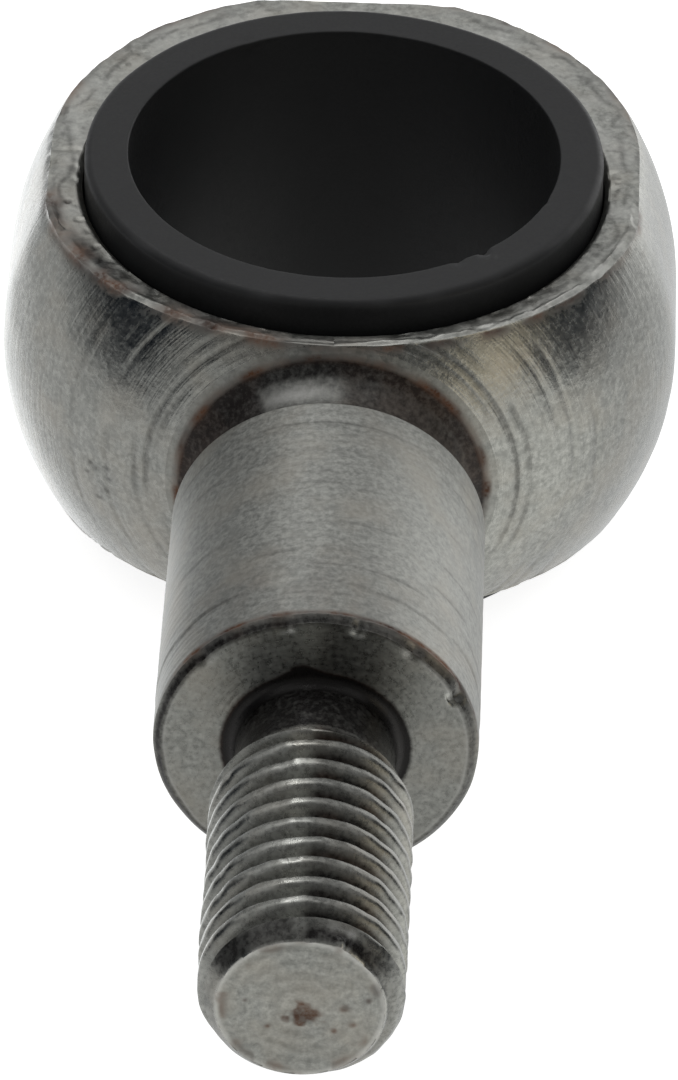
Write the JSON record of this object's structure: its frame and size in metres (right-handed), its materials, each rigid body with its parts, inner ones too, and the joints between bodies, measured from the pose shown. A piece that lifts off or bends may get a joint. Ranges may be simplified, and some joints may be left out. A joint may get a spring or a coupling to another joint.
{
  "type": "rod end bearing",
  "caption": "Steel eye bolt with a flat-sided turned eye, a plain shank and a short threaded stud; a black plastic sleeve lines the eye and stands proud of both faces.",
  "frame": {"origin": "centre of the eye, on the axis of the bush's bore, half way between the eye's two flat faces", "axes": "+Z along the axis of the bush's bore, +Y away from the threaded stud, which points along -Y; +X completes the right-handed frame"},
  "size_m": [0.0344, 0.0728, 0.0204],
  "materials": {
    "turned_steel": "bare turned steel, light surface rust",
    "black_plastic": "matte"
  },
  "bodies": {
    "rod_end": {"eye_bolt": "turned_steel"},
    "bush": {"bearing_bush": "black_plastic"}
  },
  "joints": [
    {"name": "bush_turn", "type": "hinge", "parent": "rod_end", "child": "bush", "pos_m": [0, 0, 0], "axis": [0, 0, 1], "continuous": true}
  ]
}
